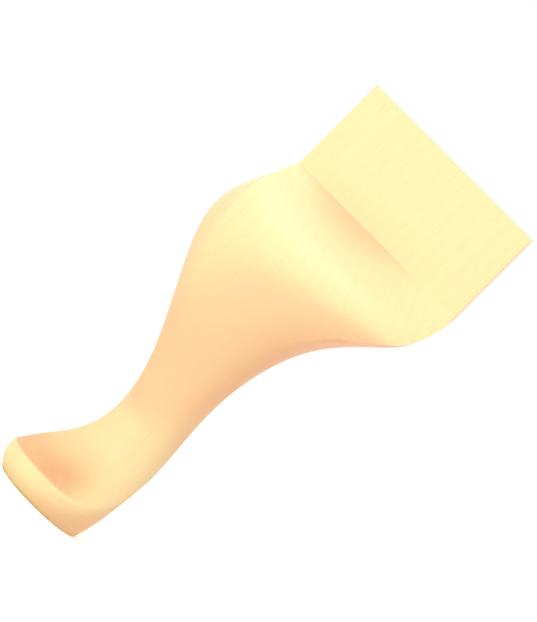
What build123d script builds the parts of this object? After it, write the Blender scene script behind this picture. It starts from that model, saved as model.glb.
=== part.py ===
from build123d import *
from math import atan, degrees, radians, tan
from typing import NamedTuple
import numpy as np
import os

os.makedirs("parts", exist_ok=True)

# Carved cabriole furniture leg, one solid piece of wood, millimetres.
# The origin is the middle of the flat top face. Up is +Z, the leg reaches down to -HEIGHT.
# The two outer (show) faces look toward -X and -Y, the rails meet the block on +X and +Y.
# The leg is symmetrical about the vertical plane x = y.
BLOCK_SIDE = 62.0
BLOCK_HEIGHT = 31.0
HEIGHT = 152.0
HALF_BLOCK = BLOCK_SIDE / 2

# Corners of an outline, by how far out they stand from its middle in both directions.
SQUARE = 1.0
ROUND = 0.707
HANDLE = 0.65       # length of the curve handles, as a share of the way to their crossing

# The outer ridge and the side corners leave the block crisp and melt into rounds on the way down.
RIDGE_MELTS = (58.0, 76.0)
SIDES_MELT = (54.0, 84.0)

# The foot rim is level outside and climbs toward the heel, where it fades.
RIM_BEND = 23.5     # diagonal distance from the leg axis inside which the rim climbs
CLIMB_EASE = 0.35   # how much of that climb is held back by the time it meets the heel


class Station(NamedTuple):
    """One outline across the leg."""

    drop: float      # depth below the top face, at the outer corner
    outer: float     # reach of the crowned outer faces from the leg axis
    inner: float     # where the two inner flanks stand, from the leg axis
    ridge: float     # outer corner, in both directions
    shoulder: float  # side corners, toward the outer face beside them
    flank: float     # side corners, toward the inner flank beside them
    back: float      # inner corner, in both directions
    climb: float     # height gained by the outline on the heel side


STATIONS = [
    # the block swells into the crowned knee
    Station(BLOCK_HEIGHT, HALF_BLOCK, -HALF_BLOCK, SQUARE, SQUARE, SQUARE, SQUARE, 0.0),
    Station(35.0, 33.5, -30.6, 0.972, 0.943, 0.997, SQUARE, 0.0),
    Station(40.0, 36.4, -29.5, 0.946, 0.905, 0.990, 0.998, 0.0),
    Station(46.0, 39.4, -27.3, 0.893, 0.885, 0.970, 0.985, 0.0),
    Station(52.0, 40.8, -21.9, 0.845, 0.872, 0.938, 0.965, 0.0),
    Station(58.0, 40.5, -15.7, 0.818, 0.856, 0.900, 0.942, 0.0),
    # the knee falls away to the ankle
    Station(64.0, 38.9, -10.8, 0.815, 0.838, 0.862, 0.918, 0.0),
    Station(71.0, 36.0, -6.9, 0.800, 0.812, 0.821, 0.885, 0.0),
    Station(80.0, 31.7, -3.8, 0.773, 0.780, 0.782, 0.825, 0.0),
    Station(94.0, 25.0, -1.6, 0.732, 0.736, 0.736, 0.760, 0.0),
    Station(108.0, 20.4, -1.8, 0.710, 0.714, 0.714, 0.720, 0.0),
    # round ankle and the scooped top of the foot
    Station(118.0, 19.5, -2.6, ROUND, ROUND, ROUND, ROUND, 1.2),
    Station(126.0, 20.9, -2.9, ROUND, ROUND, ROUND, 0.690, 5.6),
    Station(133.0, 24.4, -2.9, ROUND, ROUND, ROUND, 0.712, 12.0),
    Station(139.0, 29.7, -2.5, ROUND, ROUND, ROUND, 0.766, 19.8),
    # narrow rounded rim, bellied band and flat sole
    Station(143.0, 32.8, -2.3, ROUND, ROUND, ROUND, 0.791, 25.3),
    Station(143.8, 33.3, -2.2, ROUND, ROUND, ROUND, 0.796, 26.2),
    Station(144.6, 33.4, -2.1, ROUND, ROUND, ROUND, 0.799, 26.6),
    Station(149.2, 32.6, -0.8, ROUND, ROUND, ROUND, 0.790, 14.2),
    Station(HEIGHT, 30.3, 1.2, ROUND, ROUND, ROUND, ROUND, 0.0),
]


def melted(drop, span):
    """Softness of a corner at a depth: 0 is a crisp edge, 1 a smooth round."""
    start, end = span
    share = min(1.0, max(0.0, (drop - start) / (end - start)))
    return share * share * (3 - 2 * share)


def half_face(across, out, softness):
    """Curve points from the middle of a face (0, 1) to its corner (across, out)."""
    sag = 1.0 - out
    crossing = across / 2
    if sag > 0:
        lean = 2 * degrees(atan(sag / across))
        lean += softness * (45 - lean)
        crossing = across - sag / tan(radians(lean))
    return [
        (0.0, 1.0),
        (HANDLE * crossing, 1.0),
        (across + HANDLE * (crossing - across), out + HANDLE * sag),
        (across, out),
    ]


def climb_at(x, y, station):
    """Rise of the outline at a point, and its slope along the diagonal."""
    share = max(0.0, 1.0 - (x + y) / 2 / RIM_BEND)
    rise = share**2 - CLIMB_EASE * share**4
    slope = -(2 * share - 4 * CLIMB_EASE * share**3) / RIM_BEND
    return station.climb * rise, station.climb * slope


def place(points, turn, station):
    """Control points of one half face, turned to its place and scaled to the station."""
    middle = (station.outer + station.inner) / 2
    half = (station.outer - station.inner) / 2
    turned = [turn(*point) for point in points]
    flat = [(middle + half * x, middle + half * y) for x, y in turned]
    placed = []
    for index, (x, y) in enumerate(flat):
        near_x, near_y = flat[0] if index < 2 else flat[3]
        rise, slope = climb_at(near_x, near_y, station)
        rise += slope * (x + y - near_x - near_y) / 2
        placed.append((-x, -y, rise - station.drop))
    return placed


def outline(station):
    """Control points of the eight half faces around the leg."""
    ridge_softness = melted(station.drop, RIDGE_MELTS)
    side_softness = melted(station.drop, SIDES_MELT)
    ridge = half_face(station.ridge, station.ridge, ridge_softness)
    shoulder = half_face(station.flank, station.shoulder, side_softness)
    flank = half_face(station.shoulder, station.flank, side_softness)
    back = half_face(station.back, station.back, side_softness)
    return [
        place(ridge, lambda a, b: (a, b), station),
        place(shoulder, lambda a, b: (-a, b), station),
        place(flank, lambda a, b: (-b, a), station),
        place(back, lambda a, b: (-b, -a), station),
        place(back, lambda a, b: (-a, -b), station),
        place(flank, lambda a, b: (a, -b), station),
        place(shoulder, lambda a, b: (b, -a), station),
        place(ridge, lambda a, b: (b, a), station),
    ]


def fair_slopes(outlines, steps):
    """Slopes that take every control point down the leg with continuous curvature."""
    count = len(outlines)
    rows = outlines.reshape(count, -1)
    matrix = np.zeros((count, count))
    sides = np.zeros(rows.shape)
    matrix[0, 0:2] = 2, 1
    matrix[-1, -2:] = 1, 2
    sides[0] = 3 * (rows[1] - rows[0]) / steps[0]
    sides[-1] = 3 * (rows[-1] - rows[-2]) / steps[-1]
    for i in range(1, count - 1):
        above, below = steps[i - 1], steps[i]
        matrix[i, i - 1:i + 2] = below, 2 * (above + below), above
        sides[i] = 3 * below * (rows[i] - rows[i - 1]) / above
        sides[i] += 3 * above * (rows[i + 1] - rows[i]) / below
    return np.linalg.solve(matrix, sides).reshape(outlines.shape)


def patch(start, start_slope, end, end_slope, step):
    """Smooth surface between the same half face of two neighbouring stations."""
    net = [start, start + start_slope * step / 3, end - end_slope * step / 3, end]
    return Face.make_bezier_surface([[Vector(*point) for point in row] for row in net])


def carved_skin():
    """All surfaces between the block and the sole."""
    outlines = np.array([outline(station) for station in STATIONS])
    steps = np.linalg.norm(np.diff(outlines, axis=0), axis=3).mean(axis=(1, 2))
    slopes = fair_slopes(outlines, steps)
    skin = []
    for upper, step in enumerate(steps):
        lower = upper + 1
        for side in range(len(outlines[upper])):
            skin.append(patch(outlines[upper, side], slopes[upper, side],
                              outlines[lower, side], slopes[lower, side], step))
    top = [Edge.make_line(Vector(*curve[0]), Vector(*curve[3])) for curve in outlines[0]]
    sole = [Edge.make_bezier(*[Vector(*point) for point in curve]) for curve in outlines[-1]]
    return skin + [Face(Wire(top)), Face(Wire(sole))]


carving = Solid(Shell(carved_skin()))
block = Pos(0, 0, -BLOCK_HEIGHT / 2) * Box(BLOCK_SIDE, BLOCK_SIDE, BLOCK_HEIGHT)
leg = block + carving

if __name__ == "__main__":
    print("volume cm3", round(leg.volume / 1000, 1), "faces", len(leg.faces()))
    export_step(leg, "parts/leg.step")
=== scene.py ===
"""Cabriole furniture leg in pale wood: its finish, the studio and the camera."""
import logging
import math
from dataclasses import dataclass, field
from enum import Enum
from typing import Any, Optional, Union

import bpy
from mathutils import Matrix, Vector


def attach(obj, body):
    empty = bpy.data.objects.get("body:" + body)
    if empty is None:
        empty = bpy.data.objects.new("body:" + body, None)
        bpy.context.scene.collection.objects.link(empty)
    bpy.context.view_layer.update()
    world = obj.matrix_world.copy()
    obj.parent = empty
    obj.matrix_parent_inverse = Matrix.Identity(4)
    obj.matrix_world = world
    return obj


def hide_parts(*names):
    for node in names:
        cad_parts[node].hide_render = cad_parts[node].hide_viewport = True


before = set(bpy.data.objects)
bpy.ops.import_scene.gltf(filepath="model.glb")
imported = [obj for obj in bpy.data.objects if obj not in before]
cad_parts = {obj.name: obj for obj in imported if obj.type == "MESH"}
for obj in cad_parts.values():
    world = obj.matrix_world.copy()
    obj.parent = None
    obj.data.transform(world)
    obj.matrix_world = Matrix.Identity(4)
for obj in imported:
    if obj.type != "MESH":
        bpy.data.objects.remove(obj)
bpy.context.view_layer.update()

logging.basicConfig(level=logging.INFO, format="%(message)s")
log = logging.getLogger("leg")

MM = 0.001
DIAGONAL = math.sqrt(0.5)   # part of a direction along x = y that lies on each axis
WAVE_PHASE = 20.0           # radians of a wave pattern's phase in each unit of its scaled space

Colour = tuple[float, float, float, float]
Triple = tuple[float, float, float]
Span = tuple[float, float]


class Maths(Enum):
    """Operations of the Math node that the finish uses."""

    SUM = "ADD"
    DIFFERENCE = "SUBTRACT"
    PRODUCT = "MULTIPLY"
    QUOTIENT = "DIVIDE"
    POWER = "POWER"
    SIZE = "ABSOLUTE"
    HIGHER = "MAXIMUM"


class Laid(Enum):
    """How one colour is laid on another."""

    OVER = "MIX"
    STAINED = "MULTIPLY"


class Sock:
    """A shader value that can be used in plain arithmetic."""

    def __init__(self, shader: "Shader", link: Any) -> None:
        """Wraps one output socket of a shader."""
        self.shader = shader
        self.link = link

    def _math(self, operation: Maths, first: Any, second: Any = None) -> "Sock":
        """Adds a Math node.

        Args:
            operation: what the node does.
            first: first operand.
            second: second operand, if the operation takes one.

        Returns:
            The node's value.
        """
        values = {0: first} if second is None else {0: first, 1: second}
        return self.shader.node("ShaderNodeMath", {"operation": operation.value}, values)

    def __add__(self, other: Any) -> "Sock":
        """Sum."""
        return self._math(Maths.SUM, self, other)

    def __radd__(self, other: Any) -> "Sock":
        """Sum with a number on the left."""
        return self._math(Maths.SUM, other, self)

    def __sub__(self, other: Any) -> "Sock":
        """Difference."""
        return self._math(Maths.DIFFERENCE, self, other)

    def __rsub__(self, other: Any) -> "Sock":
        """Difference from a number on the left."""
        return self._math(Maths.DIFFERENCE, other, self)

    def __mul__(self, other: Any) -> "Sock":
        """Product."""
        return self._math(Maths.PRODUCT, self, other)

    def __rmul__(self, other: Any) -> "Sock":
        """Product with a number on the left."""
        return self._math(Maths.PRODUCT, other, self)

    def __truediv__(self, other: Any) -> "Sock":
        """Quotient."""
        return self._math(Maths.QUOTIENT, self, other)

    def __pow__(self, other: Any) -> "Sock":
        """Power."""
        return self._math(Maths.POWER, self, other)

    def absolute(self) -> "Sock":
        """Value without its sign."""
        return self._math(Maths.SIZE, self)

    def higher(self, other: Any) -> "Sock":
        """The higher of two values."""
        return self._math(Maths.HIGHER, self, other)


class Shader:
    """Builds the nodes of one material or of the world."""

    def __init__(self, tree: bpy.types.NodeTree) -> None:
        """Starts from an empty node tree."""
        self.tree = tree
        self.tree.nodes.clear()

    def node(self, kind: str, settings: Optional[dict] = None, values: Optional[dict] = None,
             out: Union[int, str] = 0) -> Sock:
        """Adds any node.

        Args:
            kind: the node's type.
            settings: properties, set before the sockets.
            values: numbers, colours or links of the input sockets, by index or name.
            out: the output that is returned.

        Returns:
            The chosen output.
        """
        made = self.tree.nodes.new(kind)
        for name, value in (settings or {}).items():
            setattr(made, name, value)
        for name, value in (values or {}).items():
            if isinstance(value, Sock):
                self.tree.links.new(value.link, made.inputs[name])
            else:
                made.inputs[name].default_value = value
        if not made.outputs:
            return Sock(self, None)
        return Sock(self, made.outputs[out])

    def split(self, vector: Sock) -> dict[str, Sock]:
        """Takes a vector apart.

        Args:
            vector: the vector.

        Returns:
            Its values, by the names X, Y and Z.
        """
        made = self.node("ShaderNodeSeparateXYZ", {}, {0: vector}).link.node
        return {name: Sock(self, made.outputs[name]) for name in "XYZ"}

    def seen(self) -> Sock:
        """Share of a ray that shows a surface: straight, mirrored or through glass.

        Returns:
            1 on those rays, 0 on the rays that carry light.
        """
        path = self.node("ShaderNodeLightPath").link.node
        rays = [Sock(self, path.outputs[f"Is {name} Ray"]) for name in ("Camera", "Glossy", "Transmission")]
        return rays[0].higher(rays[1]).higher(rays[2])

    def smooth(self, value: Sock, span: Span) -> Sock:
        """Eases a value from 0 at one end of a span to 1 at the other.

        Args:
            value: the value.
            span: where the result is 0, and where it is 1.

        Returns:
            The eased value.
        """
        start, end = span
        return self.node("ShaderNodeMapRange", {"interpolation_type": "SMOOTHSTEP"}, {
            "Value": value, "From Min": start, "From Max": end})

    def blend(self, share: Any, first: Any, second: Any, laid: Laid = Laid.OVER) -> Sock:
        """Mixes two colours.

        Args:
            share: 0 gives the first, 1 the second.
            first: first colour.
            second: second colour.
            laid: how the second colour is laid on the first.

        Returns:
            The mixed colour.
        """
        settings = {"data_type": "RGBA", "blend_type": laid.value}
        return self.node("ShaderNodeMix", settings, {0: share, 6: first, 7: second}, 2)


def rgb(red: float, green: float, blue: float) -> Colour:
    """Linear colour with full alpha from sRGB values of 0 to 255.

    Args:
        red: red value.
        green: green value.
        blue: blue value.

    Returns:
        Red, green, blue and alpha for a colour socket.
    """
    def linear(value: float) -> float:
        """One sRGB channel as a linear share."""
        share = value / 255
        return share / 12.92 if share <= 0.04045 else ((share + 0.055) / 1.055) ** 2.4
    return (linear(red), linear(green), linear(blue), 1.0)


class Spot:
    """Where a point of the leg lies, and which way its surface faces.

    The depth is measured down from the top face. Railward is how far the surface faces the nearer
    rail, and inward how far it faces the inner corner.
    """

    def __init__(self, shader: Shader) -> None:
        """Reads the place and the direction of the surface.

        Args:
            shader: the material's nodes.
        """
        self.place = shader.node("ShaderNodeTexCoord", {}, {}, "Object")
        at = shader.split(self.place)
        self.x = at["X"]
        self.y = at["Y"]
        self.depth = 0 - at["Z"]
        facing = shader.split(shader.node("ShaderNodeTexCoord", {}, {}, "Normal"))
        self.facing_x = facing["X"]
        self.facing_up = facing["Z"]
        self.railward = facing["X"].higher(facing["Y"])
        self.inward = (facing["X"] + facing["Y"]) * DIAGONAL


@dataclass(frozen=True)
class Grain:
    """Growth rings, fibres and pores that run along the leg."""

    ring_spacing: float = 2.8 * MM
    pith: Span = (95 * MM, 62 * MM)
    lean: Triple = (0.02, -0.03, 0.0)
    ring_wander: float = 1.6
    ring_sharpness: float = 3.0
    fibre_scale: float = 900.0
    fibre_draw: float = 0.035
    pore_scale: float = 2300.0
    pore_draw: float = 0.07
    pore_edge: Span = (0.62, 0.74)

    def rings(self, shader: Shader, spot: Spot) -> Sock:
        """Growth rings around a pith that lies behind the inner corner.

        Args:
            shader: the material's nodes.
            spot: the place on the leg.

        Returns:
            1 in the late wood of each ring.
        """
        turned = shader.node("ShaderNodeMapping", {}, {
            "Vector": spot.place, "Location": (-self.pith[0], -self.pith[1], 0.0), "Rotation": self.lean})
        settings = {"wave_type": "RINGS", "rings_direction": "Z", "wave_profile": "SAW"}
        wave = shader.node("ShaderNodeTexWave", settings, {
            "Vector": turned, "Scale": math.tau / WAVE_PHASE / self.ring_spacing,
            "Distortion": self.ring_wander, "Detail": 2.0, "Detail Scale": 0.25,
            "Detail Roughness": 0.45}, "Fac")
        return wave ** self.ring_sharpness

    def fibres(self, shader: Shader, spot: Spot) -> Sock:
        """Fine streaks along the grain.

        Args:
            shader: the material's nodes.
            spot: the place on the leg.

        Returns:
            Streaks of 0 to 1.
        """
        return self._drawn_noise(shader, spot, self.fibre_draw, {
            "Scale": self.fibre_scale, "Detail": 3.0, "Roughness": 0.6})

    def pores(self, shader: Shader, spot: Spot) -> Sock:
        """Short dark vessels along the grain.

        Args:
            shader: the material's nodes.
            spot: the place on the leg.

        Returns:
            1 inside a pore.
        """
        speck = self._drawn_noise(shader, spot, self.pore_draw, {
            "Scale": self.pore_scale, "Detail": 1.0, "Roughness": 0.5})
        return shader.smooth(speck, self.pore_edge)

    @staticmethod
    def _drawn_noise(shader: Shader, spot: Spot, draw: float, values: dict) -> Sock:
        """Noise that is drawn out along the leg.

        Args:
            shader: the material's nodes.
            spot: the place on the leg.
            draw: how little it changes along the leg, against across it.
            values: the noise's own values.

        Returns:
            Noise of 0 to 1.
        """
        drawn = shader.node("ShaderNodeMapping", {}, {"Vector": spot.place, "Scale": (1.0, 1.0, draw)})
        return shader.node("ShaderNodeTexNoise", {}, {"Vector": drawn, **values}, "Fac")


@dataclass(frozen=True)
class Crown:
    """Painted highlight on the top of the knee, most of all toward the outer ridge."""

    share: float = 0.6
    start: Span = (31 * MM, 33 * MM)
    end: Span = (48 * MM, 60 * MM)
    ridge_side: Span = (2 * MM, 46 * MM)
    slope: Span = (0.0, 0.4)

    def painted_highlight(self, shader: Shader, spot: Spot) -> Sock:
        """Share of the painted highlight.

        Args:
            shader: the material's nodes.
            spot: the place on the leg.

        Returns:
            0 off the crown, the full share on it.
        """
        crown = shader.smooth(spot.depth, self.start) * (1 - shader.smooth(spot.depth, self.end))
        crown = crown * shader.smooth(0 - spot.x - spot.y, self.ridge_side)
        return crown * shader.smooth(spot.facing_up, self.slope) * self.share


@dataclass(frozen=True)
class Crease:
    """Painted shade in the crease under each show face: a lens crisp at its top, and a faint haze above."""

    share: float = 0.52
    haze_share: float = 0.12
    top: float = 31 * MM
    height: float = 9.0 * MM
    middle: float = -9.0 * MM
    reach: Span = (2 * MM, 29 * MM)
    lens: Span = (-0.15, 0.95)
    lens_edge: Span = (-0.02, 0.0)
    haze_reach: Span = (-1.1, -0.1)

    def painted_shade(self, shader: Shader, spot: Spot) -> Sock:
        """Share of painted shade in the crease.

        Args:
            shader: the material's nodes.
            spot: the place on the leg.

        Returns:
            0 away from the crease.
        """
        below = (spot.depth - self.top) / self.height
        along = spot.x.higher(spot.y) - self.middle
        width = 1 - shader.smooth(along.absolute(), self.reach)
        under_edge = shader.smooth(below, self.lens_edge)
        lens = shader.smooth(width - below, self.lens) * under_edge
        # painted shade just above the crease, on the block's face
        haze = shader.smooth(below, self.haze_reach) * (1 - under_edge) * width
        return lens * self.share + haze * self.haze_share


@dataclass(frozen=True)
class Scoop:
    """Scooped top of the foot and square-cut top of the block: end grain tone, and partly painted shade."""

    slope: Span = (0.3, 0.68)
    depth: Span = (132 * MM, 141 * MM)
    start: float = 0.45
    heel_share: float = 0.65
    heel_side: Span = (-14 * MM, -3 * MM)
    heel_depth: Span = (90 * MM, 110 * MM)
    toe_share: float = 0.2
    toe_side: Span = (0.1, 0.6)

    def end_grain_and_shade(self, shader: Shader, spot: Spot) -> Sock:
        """Share of end grain tone and painted shade.

        Args:
            shader: the material's nodes.
            spot: the place on the leg.

        Returns:
            0 along the grain, up to 1 where the cut crosses it.
        """
        over = shader.smooth(spot.facing_up, self.slope)
        deep = shader.smooth(spot.depth, self.depth)
        # less painted shade toward the heel and where the surface faces -X
        heel = shader.smooth(spot.x, self.heel_side) * shader.smooth(spot.depth, self.heel_depth)
        toe = shader.smooth(0 - spot.facing_x, self.toe_side)
        over = over * (deep * (1 - self.start) + self.start)
        return over * (1 - heel * self.heel_share) * (1 - toe * self.toe_share)


@dataclass(frozen=True)
class PaintedShading:
    """Painted shade in the warm tone: undersides, inner side and its edges, ankle and foot band."""

    under_share: float = 0.64
    under_slope: Span = (-0.06, 0.27)
    under_side: Span = (-1.15, -0.3)
    shank: Span = (70 * MM, 90 * MM)
    shank_level: float = 0.83
    inner_share: float = 0.55
    inner_slope: Span = (0.15, 1.0)
    inner_fade: Span = (108 * MM, 126 * MM)
    inner_kept: float = 0.5
    ankle_share: float = 0.2
    ankle_start: Span = (102 * MM, 118 * MM)
    ankle_end: Span = (122 * MM, 136 * MM)
    ankle_side: Span = (0.6, 0.1)
    band: Span = (143.5 * MM, 145 * MM)
    band_share: float = 0.25
    band_side: Span = (-0.45, 0.35)
    band_kept: float = 0.5
    arris_share: float = 0.6
    arris: Span = (30.2 * MM, 30.9 * MM)
    arris_side: Span = (0.3, 0.1)

    def unshaded(self, shader: Shader, spot: Spot) -> Sock:
        """Share of the wood left in its pale tone, without painted shade.

        Args:
            shader: the material's nodes.
            spot: the place on the leg.

        Returns:
            1 where no shade is painted.
        """
        band = shader.smooth(spot.depth, self.band)
        kept = (1 - self._under(shader, spot, band)) * (1 - self._inner(shader, spot))
        kept = kept * (1 - self._ankle(shader, spot)) * (1 - self._arris(shader, spot))
        # painted shade on the foot band, more where it faces +X
        return kept * (1 - band * shader.smooth(spot.facing_x, self.band_side) * self.band_share)

    def _under(self, shader: Shader, spot: Spot, band: Sock) -> Sock:
        """Share of painted shade on undersides: on the knee toward the inner side, on the shank all around.

        Args:
            shader: the material's nodes.
            spot: the place on the leg.
            band: 1 on the band of the foot.

        Returns:
            The share of painted shade.
        """
        under = shader.smooth(0 - spot.facing_up, self.under_slope) * self.under_share
        shank = shader.smooth(spot.depth, self.shank) - band
        side = shader.smooth(spot.inward, self.under_side)
        under = under * (side * (1 - shank) + shank * self.shank_level)
        return under * (1 - band * (1 - self.band_kept))

    def _inner(self, shader: Shader, spot: Spot) -> Sock:
        """Share of painted shade on the sides that face the rails, less of it on the foot."""
        inner = shader.smooth(spot.railward, self.inner_slope) * self.inner_share
        return inner * (1 - shader.smooth(spot.depth, self.inner_fade) * (1 - self.inner_kept))

    def _ankle(self, shader: Shader, spot: Spot) -> Sock:
        """Share of painted shade around the ankle, on its outer sides."""
        ankle = shader.smooth(spot.depth, self.ankle_start) - shader.smooth(spot.depth, self.ankle_end)
        return ankle * shader.smooth(spot.railward, self.ankle_side) * self.ankle_share

    def _arris(self, shader: Shader, spot: Spot) -> Sock:
        """Share of painted shade along the edges where the inner faces meet the faces beside them."""
        arris = shader.smooth(spot.x.higher(spot.y), self.arris)
        return arris * shader.smooth(spot.railward, self.arris_side) * self.arris_share


@dataclass(frozen=True)
class PaleWood:
    """Sanded and oiled pale hardwood, grain along the leg, with painted shade and highlight in its colour.
    """

    # pale tone of the wood where no shade is painted
    unshaded: Colour = rgb(255, 243, 184)
    # painted highlight on the knee's crown
    painted_highlight: Colour = rgb(255, 255, 202)
    # warm tone of the painted shade
    painted_shade: Colour = rgb(255, 191, 145)
    # end grain tone, also painted shade in the foot's scoop
    end_grain_and_shade: Colour = rgb(235, 185, 136)
    late_wood: Colour = rgb(250, 216, 158)
    fibre_shade: Colour = rgb(238, 214, 178)
    pore: Colour = rgb(226, 178, 126)
    grain: Grain = field(default_factory=Grain)
    crown: Crown = field(default_factory=Crown)
    crease: Crease = field(default_factory=Crease)
    scoop: Scoop = field(default_factory=Scoop)
    painted_shading: PaintedShading = field(default_factory=PaintedShading)
    ring_share: float = 0.12
    ring_share_across: float = 0.25
    across_slope: Span = (0.8, 0.98)
    fibre_share: float = 0.1
    pore_share: float = 0.12
    roughness: float = 0.49
    fibre_roughness: float = 0.06
    relief: float = 0.05 * MM
    relief_strength: float = 0.25
    fibre_relief: float = 0.6
    gloss: float = 0.3

    def build(self) -> bpy.types.Material:
        """Makes the material.

        Returns:
            The finished material.
        """
        material = bpy.data.materials.new("pale_wood")
        material.use_nodes = True
        shader = Shader(material.node_tree)
        spot = Spot(shader)
        fibres = self.grain.fibres(shader, spot)
        pores = self.grain.pores(shader, spot)
        relief = shader.node("ShaderNodeBump", {}, {
            "Strength": self.relief_strength, "Distance": self.relief,
            "Height": fibres * self.fibre_relief - pores})
        surface = shader.node("ShaderNodeBsdfPrincipled", {}, {
            "Base Color": self._tone(shader, spot, fibres, pores),
            "Roughness": fibres * self.fibre_roughness + self.roughness,
            "Specular IOR Level": self.gloss,
            "Normal": relief,
        })
        shader.node("ShaderNodeOutputMaterial", {}, {"Surface": surface})
        return material

    def _tone(self, shader: Shader, spot: Spot, fibres: Sock, pores: Sock) -> Sock:
        """Colour of the wood: painted highlight and shade first, then rings, fibres and pores.

        Args:
            shader: the material's nodes.
            spot: the place on the leg.
            fibres: fine streaks.
            pores: 1 inside a pore.

        Returns:
            The colour.
        """
        # share of painted shade: undersides, inner side, ankle, foot band, edges and crease
        warm = 1 - self.painted_shading.unshaded(shader, spot) * (1 - self.crease.painted_shade(shader, spot))
        # painted highlight on the knee's crown
        tone = shader.blend(self.crown.painted_highlight(shader, spot), self.unshaded, self.painted_highlight)
        tone = shader.blend(warm, tone, self.painted_shade)
        # end grain tone and painted shade on upward-facing surfaces
        tone = shader.blend(self.scoop.end_grain_and_shade(shader, spot), tone, self.end_grain_and_shade)
        rings = self.grain.rings(shader, spot)
        across = shader.smooth(spot.facing_up.absolute(), self.across_slope)
        tone = shader.blend(rings * self.ring_share, tone, self.late_wood)
        tone = shader.blend(rings * across * self.ring_share_across, tone, self.pore)
        tone = shader.blend(fibres * self.fibre_share, tone, self.fibre_shade, Laid.STAINED)
        return shader.blend(pores * self.pore_share, tone, self.pore)


@dataclass
class CabrioleLeg:
    """The carved leg itself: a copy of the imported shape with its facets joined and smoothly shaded."""

    finish: PaleWood = field(default_factory=PaleWood)
    seam: float = 0.005 * MM
    crisp_angle: float = 50.0
    block_bottom: float = -31 * MM
    ridge_end: float = -68 * MM

    def build(self) -> bpy.types.Object:
        """Makes the finished leg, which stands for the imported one.

        Returns:
            The finished piece.
        """
        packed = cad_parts["leg"]
        piece = bpy.data.objects.new("carved_leg", packed.data.copy())
        bpy.context.scene.collection.objects.link(piece)
        bpy.ops.object.select_all(action="DESELECT")
        piece.select_set(True)
        bpy.context.view_layer.objects.active = piece
        self._join()
        self._sharpen(piece)
        bpy.ops.object.shade_smooth_by_angle(angle=math.radians(self.crisp_angle), keep_sharp_edges=True)
        piece.data.materials.clear()
        piece.data.materials.append(self.finish.build())
        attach(piece, "root")
        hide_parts("leg")
        log.info("%s: %d faces", piece.name, len(piece.data.polygons))
        return piece

    def _join(self) -> None:
        """Joins the loose facets of the active piece into one skin."""
        bpy.ops.mesh.customdata_custom_splitnormals_clear()
        bpy.ops.object.mode_set(mode="EDIT")
        bpy.ops.mesh.select_all(action="SELECT")
        bpy.ops.mesh.remove_doubles(threshold=self.seam)
        bpy.ops.mesh.select_all(action="DESELECT")
        bpy.ops.object.mode_set(mode="OBJECT")

    def _sharpen(self, piece: bpy.types.Object) -> None:
        """Marks the lines that stay crisp: the lower border of the block, and the knee's outer ridge.

        Args:
            piece: the joined leg.
        """
        mesh = piece.data
        bpy.ops.object.mode_set(mode="EDIT")
        bpy.ops.mesh.select_mode(type="EDGE")
        bpy.ops.object.mode_set(mode="OBJECT")
        for edge in mesh.edges:
            ends = [mesh.vertices[index].co for index in edge.vertices]
            border = all(self._on_border(end) for end in ends)
            edge.select = border or all(self._on_ridge(end) for end in ends)
        bpy.ops.object.mode_set(mode="EDIT")
        bpy.ops.mesh.mark_sharp()
        bpy.ops.mesh.select_all(action="DESELECT")
        bpy.ops.object.mode_set(mode="OBJECT")

    def _on_border(self, point: Vector) -> bool:
        """Tells whether a point lies on the lower border of the block."""
        return abs(point.z - self.block_bottom) < self.seam

    def _on_ridge(self, point: Vector) -> bool:
        """Tells whether a point lies on the crisp part of the outer ridge."""
        return point.x < 0 and abs(point.x - point.y) < self.seam and point.z > self.ridge_end


@dataclass
class PhotoCamera:
    """Level camera in front of one show face, rolled so that the leg lies across the frame."""

    eye: Triple = (-7.6 * MM, -578.6 * MM, -66.5 * MM)
    lens: float = 112.9
    roll: float = 45.0
    nearest: float = 0.01
    farthest: float = 50.0

    def place(self) -> None:
        """Adds the camera and makes it the scene's own."""
        lens = bpy.data.cameras.new("camera")
        lens.lens = self.lens
        lens.clip_start = self.nearest
        lens.clip_end = self.farthest
        camera = bpy.data.objects.new("camera", lens)
        bpy.context.scene.collection.objects.link(camera)
        level = Matrix.Rotation(math.radians(90), 4, "X")
        turned = Matrix.Rotation(math.radians(-self.roll), 4, "Y")
        camera.matrix_world = Matrix.Translation(self.eye) @ turned @ level
        bpy.context.scene.camera = camera
        log.info("camera: %s", self.eye)


@dataclass
class Lamp:
    """One soft square studio lamp that looks at the leg."""

    name: str
    azimuth: float
    elevation: float
    power: float
    size: float = 0.5
    distance: float = 1.0
    colour: Triple = (1.0, 1.0, 1.0)

    def hang(self, target: Vector) -> None:
        """Adds the lamp.

        Args:
            target: the point that it looks at.
        """
        light = bpy.data.lights.new(self.name, "AREA")
        light.shape = "SQUARE"
        light.size = self.size
        light.energy = self.power
        light.color = self.colour
        lamp = bpy.data.objects.new(self.name, light)
        bpy.context.scene.collection.objects.link(lamp)
        around, up = math.radians(self.azimuth), math.radians(self.elevation)
        away = Vector((math.sin(around) * math.cos(up), -math.cos(around) * math.cos(up), math.sin(up)))
        lamp.location = target + away * self.distance
        lamp.rotation_euler = away.to_track_quat("Z", "Y").to_euler()
        log.info("lamp %s: %.1f W", self.name, self.power)


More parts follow.
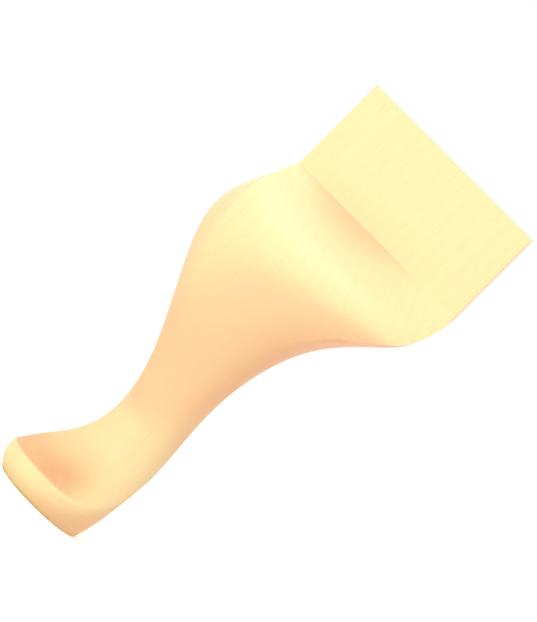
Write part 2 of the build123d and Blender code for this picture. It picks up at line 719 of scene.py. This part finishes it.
@dataclass
class Studio:
    """Plain pale floor, white surroundings, a slightly warm fill and soft lamps, the side one orange."""

    floor_level: float = -152.1 * MM
    floor_half: float = 3.0
    floor_colour: Colour = (0.9, 0.9, 0.9, 1.0)
    floor_glow: float = 0.42
    white: Colour = (1.0, 1.0, 1.0, 1.0)
    surroundings: float = 0.75
    fill_colour: Colour = (1.0, 0.9, 0.87, 1.0)
    lamps: tuple[Lamp, ...] = (
        Lamp("key", azimuth=-18, elevation=35, power=1.65, size=0.4, distance=0.7),
        Lamp("side", azimuth=-75, elevation=12, power=0.85, colour=(1.0, 0.5, 0.3)),
        Lamp("back", azimuth=190, elevation=40, power=1.2),
    )

    def build(self) -> None:
        """Adds the floor, the world and the lamps."""
        self._floor()
        self._world()
        middle = Vector((0, 0, self.floor_level / 2))
        for lamp in self.lamps:
            lamp.hang(middle)

    def _floor(self) -> None:
        """Adds the plain floor under the foot."""
        bpy.ops.mesh.primitive_plane_add(size=2 * self.floor_half, location=(0, 0, self.floor_level))
        floor = bpy.context.active_object
        floor.name = "floor"
        material = bpy.data.materials.new("floor")
        material.use_nodes = True
        shader = Shader(material.node_tree)
        matte = shader.node("ShaderNodeBsdfDiffuse", {}, {"Color": self.floor_colour})
        glow = shader.node("ShaderNodeEmission", {}, {"Color": self.white, "Strength": self.floor_glow})
        both = shader.node("ShaderNodeAddShader", {}, {0: matte, 1: glow})
        mixed = shader.node("ShaderNodeMixShader", {}, {0: shader.seen(), 1: matte, 2: both})
        shader.node("ShaderNodeOutputMaterial", {}, {"Surface": mixed})
        floor.data.materials.append(material)

    def _world(self) -> None:
        """Makes the surroundings white to the camera and dimmer as a light."""
        world = bpy.data.worlds.new("studio")
        world.use_nodes = True
        bpy.context.scene.world = world
        shader = Shader(world.node_tree)
        fill = shader.node("ShaderNodeBackground", {}, {
            "Color": self.fill_colour, "Strength": self.surroundings})
        backdrop = shader.node("ShaderNodeBackground", {}, {"Color": self.white, "Strength": 1})
        mixed = shader.node("ShaderNodeMixShader", {}, {0: shader.seen(), 1: fill, 2: backdrop})
        shader.node("ShaderNodeOutputWorld", {}, {"Surface": mixed})


def main() -> None:
    """Builds the leg, the studio and the camera."""
    CabrioleLeg().build()
    Studio().build()
    PhotoCamera().place()
    bpy.context.scene.view_settings.view_transform = "Standard"


if __name__ == "__main__":
    main()
